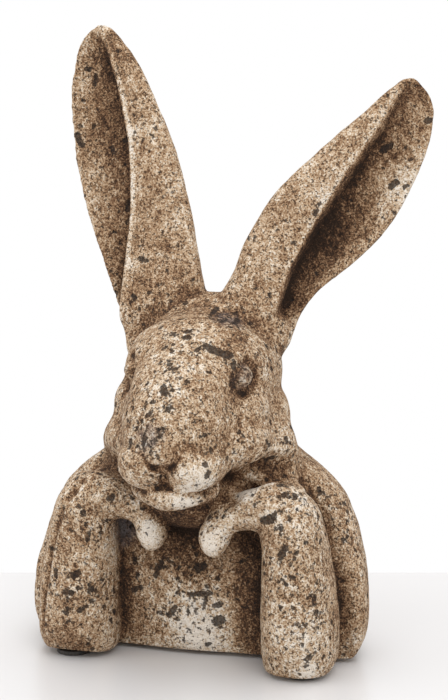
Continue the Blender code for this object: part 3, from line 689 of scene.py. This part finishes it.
# The hare in one skin: its surfaces fused on a fine grid, rubbed down, carved, pitted and thinned.
def buildHare():
    surfaces = [torsoSurface(torso)]
    surfaces += pair("foreleg", limbSurface(foreleg)) + pair("wrist", limbSurface(wrist))
    surfaces += [earSurface(ear) for ear in ears.values()]
    surfaces += [massSurface(**mass) for mass in masses.values()]
    for name, mass in pairedMasses.items():
        surfaces += pair(name, massSurface(**mass))
    closed = [closedSurface(rings) for rings in surfaces]
    start = np.cumsum([0] + [len(points) for points, _ in closed])
    rough = meshFrom("rough", np.concatenate([points for points, _ in closed]),
                     np.concatenate([triangles + first for (_, triangles), first in zip(closed, start)]))
    skin = modified(rough, "REMESH", mode="VOXEL", voxel_size=stone["grain"])
    points, edges, triangles = pointsOf(skin), edgesOf(skin), trianglesOf(skin)
    print("stone fused:", len(points), "points")

    # rubbed down, most on the face and least round the eyes, then carved
    cell = np.linalg.norm(points[edges[:, 0]] - points[edges[:, 1]], axis=1).mean()
    points = relaxed(points, edges, np.full(len(points), 0.5), roundsFor(stone["rubbed"], cell))
    face = (1 - eased(points[:, 1], *faceBand["back"])) * eased(points[:, 2], *faceBand["neck"])
    face *= (1 - eased(points[:, 2], *faceBand["crown"])) * (1 - eased(np.abs(points[:, 0]), *faceBand["side"]))
    fromEye = np.linalg.norm(np.abs(points) - np.array(faceBand["eye"]), axis=1)
    points = relaxed(points, edges, 0.5 * face * eased(fromEye, *faceBand["eyeClear"]),
                     roundsFor(stone["faceRubbed"], cell))
    points = carved(points, triangles)
    points = relaxed(points, edges, np.full(len(points), 0.5), 1)

    # the casting's lumps, and its pits
    clear = eased(points[:, 2] - sole, *stone["soleClear"])
    uneven = sum(height * lumps(points, size, seed) for seed, (size, height) in enumerate(
        zip(stone["lumpSize"], stone["lumpHeight"])))
    pits = scatteredPits(points, triangles)
    edge = pitEdge(points, pits)
    depth = pitting["depth"] * (1 - eased(edge, *pitting["wall"])) * clear
    points = points + (uneven * clear - depth)[:, None] * normalsAt(points, triangles)
    points[:, 2] = np.maximum(points[:, 2], sole)
    worn = fading(np.linalg.norm(points - np.array(wornEdge["at"]), axis=1), wornEdge["reach"])
    points[:, 2] += wornEdge["rise"] * worn * (1 - eased(points[:, 2], sole, sole + wornEdge["upTo"]))
    skin.vertices.foreach_set("co", points.astype(np.float32).ravel())
    skin.update()
    fine = modified(skin, "DECIMATE", ratio=min(1.0, stone["faces"] / len(triangles)), use_collapse_triangulate=True)
    allPoints, allTriangles = points, triangles
    points, triangles = pointsOf(fine), trianglesOf(fine)
    print("stone carved:", len(triangles), "triangles")

    # what the material needs to know at each point
    narrow, middleShade, wide = stoneAround(allPoints, allTriangles, points, stone["shadeWidths"])
    fields = dict(
        pitEdge=pitEdge(points, pits),
        # painted shade in hollows, at three widths
        narrowShade=narrow - 0.5,
        hollow=middleShade - 0.5,
        wideShade=wide - 0.5,
        # earShade is soot and painted shade inside the ears
        earShade=earShade(points, normalsAt(points, triangles)),
        # tone: bleaching and stains, with painted shade under the head, along the creases and by the forearms, and
        # the rims' painted highlight
        tone=patchTotal(points, tonePatches) + lineTotal(points) + rimTotal(points),
        grey=patchTotal(points, greyPatches),
        open=openness(points))
    for name, value in fields.items():
        print("  %-13s %.2f to %.2f" % (name, value.min(), value.max()))
        fine.attributes.new(name, "FLOAT", "POINT").data.foreach_set("value", value.astype(np.float32))
    fine.vertices.foreach_set("co", inFrame(points).astype(np.float32).ravel())
    fine.update()
    fine.shade_smooth()
    return added("hare_stone", fine)


# sRGB from 0 to 255 as Blender's linear colour
def tint(red, green, blue):
    part = np.array([red, green, blue]) / 255
    linear = np.where(part < 0.04045, part / 12.92, ((part + 0.055) / 1.055) ** 2.4)
    return (*linear.tolist(), 1.0)


# Each input is a value or the output that feeds it.
def feed(tree, made, inputs):
    for name, value in inputs.items():
        if isinstance(value, bpy.types.NodeSocket):
            tree.links.new(value, made.inputs[name])
        else:
            made.inputs[name].default_value = value


# Adds a node, with its settings and its inputs.
def node(tree, kind, inputs=None, **settings):
    made = tree.nodes.new("ShaderNode" + kind)
    for name, value in settings.items():
        setattr(made, name, value)
    feed(tree, made, inputs or {})
    return made


# a and b worked out by a Math node
def math(tree, operation, a, b=0.0, clamp=False):
    return node(tree, "Math", {0: a, 1: b}, operation=operation, use_clamp=clamp).outputs[0]


# (value - 0.5) * amount, which swings a noise round nothing
def swing(tree, value, amount):
    return math(tree, "MULTIPLY", math(tree, "SUBTRACT", value, 0.5), amount)


# start + per * value
def linear(tree, value, start, per):
    return math(tree, "ADD", math(tree, "MULTIPLY", value, per), start)


# runs smoothly from 0 to 1 as the value goes from low to high
def ramp(tree, value, low, high):
    return node(tree, "MapRange", {"Value": value, "From Min": low, "From Max": high},
                interpolation_type="SMOOTHSTEP").outputs[0]


# the colour over laid on the colour under by the amount
def blended(tree, amount, under, over):
    return node(tree, "Mix", {0: amount, 6: under, 7: over}, data_type="RGBA").outputs[2]


# cloudy noise from 0 to 1, whose patches are about the given size in metres
def noise(tree, vector, size, detail=3.0, roughness=0.55, twist=0.0):
    return node(tree, "TexNoise", {"Vector": vector, "Scale": 1 / size, "Detail": detail, "Roughness": roughness,
                                   "Distortion": twist}).outputs["Fac"]


# a value that the mesh carries at each point
def attribute(tree, name):
    return node(tree, "Attribute", attribute_name=name, attribute_type="GEOMETRY").outputs["Fac"]


# A shader group with named sockets: {name: (kind, default)} in, {name: kind} out.
def newGroup(name, takes, gives):
    tree = bpy.data.node_groups.new(name, "ShaderNodeTree")
    for label, (kind, default) in takes.items():
        socket = tree.interface.new_socket(label, in_out="INPUT", socket_type="NodeSocket" + kind)
        if default is not None:
            socket.default_value = default
    for label, kind in gives.items():
        tree.interface.new_socket(label, in_out="OUTPUT", socket_type="NodeSocket" + kind)
    return tree, tree.nodes.new("NodeGroupInput").outputs, tree.nodes.new("NodeGroupOutput").inputs


# A group placed in a material, with its own values or the outputs that feed it.
def placeGroup(tree, group, inputs):
    made = tree.nodes.new("ShaderNodeGroup")
    made.node_tree = group
    feed(tree, made, inputs)
    return made.outputs


# Sand in the surface: 0.6 of a coarse noise and 0.4 of one 2.7 times finer. The fleck is that less 0.5, times the
# contrast.
def sandGroup():
    tree, takes, gives = newGroup(
        "sand", {"Vector": ("Vector", None), "Size": ("Float", 0.001), "Contrast": ("Float", 1.0)},
        {"Height": "Float", "Fleck": "Float"})
    scale = math(tree, "DIVIDE", 1.0, takes["Size"])
    coarse = node(tree, "TexNoise", {"Vector": takes["Vector"], "Scale": scale, "Detail": 2.0, "Roughness": 0.6})
    fine = node(tree, "TexNoise", {
        "Vector": takes["Vector"], "Scale": math(tree, "MULTIPLY", scale, 2.7), "Detail": 3.0, "Roughness": 0.65})
    both = math(tree, "ADD", math(tree, "MULTIPLY", coarse.outputs["Fac"], 0.6),
                math(tree, "MULTIPLY", fine.outputs["Fac"], 0.4))
    tree.links.new(both, gives["Height"])
    centred = math(tree, "MULTIPLY", math(tree, "SUBTRACT", both, 0.5), takes["Contrast"])
    tree.links.new(centred, gives["Fleck"])
    return tree


# Small ragged holes where the noise is under the level: (level - noise) / edge, from 0 to 1.
def holesGroup():
    tree, takes, gives = newGroup(
        "small_holes", {"Vector": ("Vector", None), "Size": ("Float", 0.003), "Level": ("Float", 0.35),
                        "Edge": ("Float", 0.04)}, {"Hole": "Float"})
    field = node(tree, "TexNoise", {
        "Vector": takes["Vector"], "Scale": math(tree, "DIVIDE", 1.0, takes["Size"]), "Detail": 1.5, "Roughness": 0.5,
        "Distortion": 0.3})
    under = math(tree, "SUBTRACT", takes["Level"], field.outputs["Fac"])
    hole = math(tree, "DIVIDE", under, takes["Edge"], clamp=True)
    tree.links.new(hole, gives["Hole"])
    return tree


# Dirt over a colour where the mask is high, broken up by noise: its amount is mask + 2 ragged (noise - 0.5), and
# nothing where the mask is 0.
def dirtGroup():
    tree, takes, gives = newGroup(
        "dirt", {"Vector": ("Vector", None), "Color": ("Color", None), "Dirt": ("Color", (0.1, 0.07, 0.05, 1)),
                 "Mask": ("Float", 0.0), "Patch Size": ("Float", 0.006), "Ragged": ("Float", 0.5)},
        {"Color": "Color"})
    scale = math(tree, "DIVIDE", 1.0, takes["Patch Size"])
    patch = node(tree, "TexNoise", {"Vector": takes["Vector"], "Scale": scale, "Detail": 5.0, "Roughness": 0.65})
    broken = math(tree, "MULTIPLY", math(tree, "SUBTRACT", patch.outputs["Fac"], 0.5), takes["Ragged"])
    amount = math(tree, "ADD", takes["Mask"], math(tree, "MULTIPLY", broken, 2.0))
    amount = math(tree, "MULTIPLY", amount, ramp(tree, takes["Mask"], 0.0, 0.15), clamp=True)
    tree.links.new(blended(tree, amount, takes["Color"], takes["Dirt"]), gives["Color"])
    return tree


sand, smallHoles, dirt = sandGroup(), holesGroup(), dirtGroup()

# the casting's colours, from the darkest stain to bleached stone
stoneColours = dict(
    soot=tint(44, 31, 22), stain=tint(76, 53, 37), brown=tint(113, 83, 59), tan=tint(152, 121, 91),
    sandy=tint(185, 157, 127), cream=tint(209, 189, 164), bleached=tint(233, 222, 208), hole=tint(40, 36, 34),
    pinhole=tint(70, 52, 39), grey=tint(128, 120, 118), roughness=0.92, gloss=0.25)
# how pale the stone is at each of them; the first and the last are the ends of the ramp
colourSteps = dict(soot=0.0, stain=0.16, brown=0.33, tan=0.49, sandy=0.65, cream=0.81, bleached=1.0)
# how pale the stone is, how much each size of noise swings that, what a patch adds, and what painted shade in hollows
# and in the ears takes away
stoneLook = dict(
    base=0.545, clouds=0.30, mottle=0.60, specks=0.95, grains=1.15, tone=0.20, narrow=0.9, hollow=0.75, wide=0.3,
    inEar=0.38)
# the two sizes of small holes: their noise, the level it has to be under, in close stone and how much more in open
# stone and less on bleached stone, how soft their edge is, and how dark they are
smallHoleLook = dict(
    medium=dict(size=0.0034, level=0.305, open=0.075, edge=0.035, dark=0.82),
    tiny=dict(size=0.0015, level=0.40, open=0.035, bleached=0.022, edge=0.05, dark=0.8))
# the largest holes, from the mesh: how ragged their edge is at two sizes, and how dark they are
pitLook = dict(ragged=2.2, raggedFine=3.0, dark=0.88)
# heights of the relief in the material, in metres
relief = dict(grit=0.0005, grains=0.0007, specks=0.0022, pit=-0.0008, holes=-0.0006)


# A material with its node tree and its shader.
def newMaterial(name):
    material = bpy.data.materials.new(name)
    material.use_nodes = True
    return material, material.node_tree, material.node_tree.nodes["Principled BSDF"]


# The stone. How pale it is, from 0 to 1, is a base, four sizes of noise and the patches, less painted shade in
# hollows and in the ears;
# colours follow from that, and holes in three sizes are dark.
def stoneMaterial():
    material, tree, shader = newMaterial("castStone")
    place = node(tree, "TexCoord").outputs["Object"]
    grained = node(tree, "Mapping", {"Vector": place, "Scale": (1.0, 1.0, 0.7)}).outputs[0]
    edge, tone, grey = (attribute(tree, name) for name in ("pitEdge", "tone", "grey"))
    narrow, hollow, wide = (attribute(tree, name) for name in ("narrowShade", "hollow", "wideShade"))
    inEar, openAt = attribute(tree, "earShade"), attribute(tree, "open")

    cloud = noise(tree, place, 0.030, 3.0)
    mottle = noise(tree, grained, 0.0085, 2.0, 0.55, 0.3)
    speck = noise(tree, grained, 0.0029, 2.0, 0.6, 0.2)
    grains = noise(tree, place, 0.0011, 1.0, 0.6)
    pale = math(tree, "ADD", swing(tree, cloud, stoneLook["clouds"]), stoneLook["base"])
    pale = math(tree, "ADD", pale, swing(tree, mottle, stoneLook["mottle"]))
    pale = math(tree, "ADD", pale, math(tree, "MULTIPLY", tone, stoneLook["tone"]))
    # painted shade: darker in hollows at three widths and inside the ears
    for value, amount in ((math(tree, "MAXIMUM", narrow, -0.06), stoneLook["narrow"]),
                          (math(tree, "MAXIMUM", hollow, -0.05), stoneLook["hollow"]),
                          (ramp(tree, wide, 0.0, 0.35), stoneLook["wide"]), (inEar, stoneLook["inEar"])):
        pale = math(tree, "SUBTRACT", pale, math(tree, "MULTIPLY", value, amount))
    uneven = linear(tree, openAt, 0.6, 0.9)
    pale = math(tree, "ADD", pale, math(tree, "MULTIPLY", swing(tree, speck, stoneLook["specks"]), uneven))
    pale = math(tree, "ADD", pale, swing(tree, grains, stoneLook["grains"]))
    colours = node(tree, "ValToRGB", {0: pale})
    stops = colours.color_ramp.elements
    stops[0].color, stops[1].color = stoneColours["soot"], stoneColours["bleached"]
    for name, at in colourSteps.items():
        if 0 < at < 1:
            stops.new(at).color = stoneColours[name]
    skin = placeGroup(tree, dirt, {
        "Vector": place, "Color": colours.outputs["Color"], "Dirt": stoneColours["grey"],
        "Mask": math(tree, "MULTIPLY", grey, 0.8), "Patch Size": 0.005, "Ragged": 0.8})["Color"]

    # the holes: the larger ones from the mesh, with ragged edges, and two sizes of ragged small ones, thicker where
    # the stone is open
    ragged = math(tree, "ADD", swing(tree, noise(tree, place, 0.0040, 1.0), pitLook["ragged"]),
                  swing(tree, noise(tree, place, 0.0017, 2.0), pitLook["raggedFine"]))
    pit = ramp(tree, math(tree, "ADD", edge, ragged), 0.30, -0.35)
    small = {}
    for name, look in smallHoleLook.items():
        level = linear(tree, openAt, look["level"], look["open"])
        if "bleached" in look:
            level = math(tree, "SUBTRACT", level, math(tree, "MULTIPLY", tone, look["bleached"]))
        small[name] = placeGroup(tree, smallHoles, {
            "Vector": place, "Size": look["size"], "Level": level, "Edge": look["edge"]})["Hole"]
    skin = blended(tree, math(tree, "MULTIPLY", small["tiny"], smallHoleLook["tiny"]["dark"]), skin,
                   stoneColours["pinhole"])
    dark = math(tree, "MAXIMUM", math(tree, "MULTIPLY", pit, pitLook["dark"]),
                math(tree, "MULTIPLY", small["medium"], smallHoleLook["medium"]["dark"]))
    inside = blended(tree, ramp(tree, noise(tree, place, 0.0016, 1.0), 0.4, 0.7), stoneColours["hole"],
                     stoneColours["pinhole"])
    tree.links.new(blended(tree, dark, skin, inside), shader.inputs["Base Color"])

    # relief: sand, grains and specks that stand up, and the holes
    grit = placeGroup(tree, sand, {"Vector": place, "Size": 0.0011, "Contrast": 1.0})
    height = math(tree, "MULTIPLY", grit["Height"], relief["grit"])
    holes = math(tree, "MAXIMUM", small["medium"], small["tiny"])
    for name, value in dict(grains=grains, specks=speck, pit=pit, holes=holes).items():
        height = math(tree, "ADD", height, math(tree, "MULTIPLY", value, relief[name]))
    bump = node(tree, "Bump", {"Height": height, "Strength": 1.0, "Distance": 1.0})
    tree.links.new(bump.outputs["Normal"], shader.inputs["Normal"])
    tree.links.new(linear(tree, grit["Fleck"], stoneColours["roughness"], 0.25), shader.inputs["Roughness"])
    shader.inputs["Specular IOR Level"].default_value = stoneColours["gloss"]
    return material


# the rubber pads, in metres, and their rubber
pad = dict(radius=0.0110, height=0.0030, rounding=0.0007, rubber=tint(22, 22, 24), dust=tint(120, 108, 96),
           dusty=0.16, roughness=0.55)


# A profile turned about an upright axis: (r cos w, r sin w, z), with a quarter circle at the top and bottom edge.
def padSurface(centre, columns=64):
    low, high, r = 0.0, pad["height"], pad["rounding"]
    turn = np.linspace(0, np.pi / 2, 7)
    radius = np.concatenate([[0.3 * pad["radius"]], pad["radius"] - r + r * np.sin(turn),
                             pad["radius"] - r + r * np.cos(turn), [0.3 * pad["radius"]]])
    height = np.concatenate([[low], low + r - r * np.cos(turn), high - r + r * np.sin(turn), [high]])
    angle = np.linspace(0, 2 * np.pi, columns, endpoint=False)[None, :]
    return np.stack([centre[0] + radius[:, None] * np.cos(angle), centre[1] + radius[:, None] * np.sin(angle),
                     height[:, None] + 0 * angle], axis=-1)


# Black rubber, a little dusty, with sand in its surface.
def rubberMaterial():
    material, tree, shader = newMaterial("blackRubber")
    place = node(tree, "TexCoord").outputs["Object"]
    grit = placeGroup(tree, sand, {"Vector": place, "Size": 0.0012, "Contrast": 1.2})
    dusty = placeGroup(tree, dirt, {
        "Vector": place, "Color": pad["rubber"], "Dirt": pad["dust"], "Mask": pad["dusty"], "Patch Size": 0.003,
        "Ragged": 0.6})
    tree.links.new(dusty["Color"], shader.inputs["Base Color"])
    tree.links.new(linear(tree, grit["Fleck"], pad["roughness"], 0.3), shader.inputs["Roughness"])
    bump = node(tree, "Bump", {"Height": math(tree, "MULTIPLY", grit["Height"], 0.00012), "Distance": 1.0})
    tree.links.new(bump.outputs["Normal"], shader.inputs["Normal"])
    return material


hare = buildHare()
hare.data.materials.append(stoneMaterial())
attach(hare, "root")
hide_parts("hare")

rubber = rubberMaterial()
for name in padPlaces:
    points, triangles = closedSurface(padSurface(middleOf(name)))
    mesh = meshFrom(name + "_rubber", points, triangles)
    mesh.shade_smooth()
    mesh.materials.append(rubber)
    piece = added(name + "_rubber", mesh)
    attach(piece, "root")
    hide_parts(name)
print("pads placed")

# a pale table top, its far edge square to the view and a little way behind the hare
studio = dict(width=3.0, front=-2.5, back=0.19, thickness=0.02, roughness=0.3)


# A slab whose corners are u * width across the view and v away from the camera.
def studioFloor():
    turn = np.radians(view["azimuth"])
    across, away = np.array([np.cos(turn), np.sin(turn), 0]), np.array([-np.sin(turn), np.cos(turn), 0])
    corners = [u * studio["width"] * across + v * away
               for u, v in ((-1, studio["front"]), (1, studio["front"]), (1, studio["back"]), (-1, studio["back"]))]
    down = np.array([0, 0, studio["thickness"]])
    points = [corner.tolist() for corner in corners] + [(corner - down).tolist() for corner in corners]
    faces = [(0, 1, 2, 3), (7, 6, 5, 4)] + [(k + 4, (k + 1) % 4 + 4, (k + 1) % 4, k) for k in range(4)]
    mesh = bpy.data.meshes.new("floor")
    mesh.from_pydata(points, [], faces)
    material, tree, shader = newMaterial("paleFloor")
    place = node(tree, "TexCoord").outputs["Object"]
    tone = blended(tree, noise(tree, place, 0.4, 2.0), tint(214, 212, 212), tint(221, 220, 220))
    tree.links.new(tone, shader.inputs["Base Color"])
    shader.inputs["Roughness"].default_value = studio["roughness"]
    mesh.materials.append(material)
    added("floor", mesh)


# the photograph's view: 16 degrees round to the hare's left, 10 degrees up, 1.4 m away, in a frame 700 pixels high
view = dict(azimuth=16.0, elevation=10.0, distance=1.4, target=(11, 0, 196), pixelsPerShare=1.55, frameHeight=700,
            sensor=36.0)
lamps = dict(
    key=dict(place=(0.7, -1.2, 1.6), size=0.9, energy=9.0),
    fill=dict(place=(-1.3, -0.9, 0.8), size=1.2, energy=3.0),
    top=dict(place=(0.0, 0.0, 1.8), size=1.2, energy=9.0))
lampsAim = (0, 0, 0.18)


# The thing's -Z axis is turned from its place to the target.
def lookAt(thing, place, target):
    thing.location = place
    thing.rotation_euler = (Vector(target) - Vector(place)).to_track_quat("-Z", "Y").to_euler()


# The camera stands back from the target along (sin a cos e, -cos a cos e, sin e).
def addCamera():
    camera = bpy.data.cameras.new("camera")
    camera.sensor_fit = "AUTO"
    camera.sensor_width = view["sensor"]
    camera.clip_end = 30
    camera.lens = view["sensor"] * view["pixelsPerShare"] * view["distance"] / share / view["frameHeight"]
    eye = added("camera", camera)
    target = (np.array(view["target"], float) - middle) * share
    around, up = np.radians([view["azimuth"], view["elevation"]])
    back = np.array([np.sin(around) * np.cos(up), -np.cos(around) * np.cos(up), np.sin(up)])
    lookAt(eye, (target + back * view["distance"]).tolist(), target.tolist())
    scene.camera = eye


# Soft square lamps and an even white sky.
def addLamps():
    for name, lamp in lamps.items():
        light = bpy.data.lights.new(name, "AREA")
        light.size = lamp["size"]
        light.energy = lamp["energy"]
        lookAt(added(name, light), lamp["place"], lampsAim)
    world = bpy.data.worlds.new("studio")
    world.use_nodes = True
    world.node_tree.nodes["Background"].inputs["Color"].default_value = (1, 1, 1, 1)
    world.node_tree.nodes["Background"].inputs["Strength"].default_value = 1.0
    scene.world = world


scene.view_settings.view_transform = "Standard"
studioFloor()
addCamera()
addLamps()
print("studio placed")
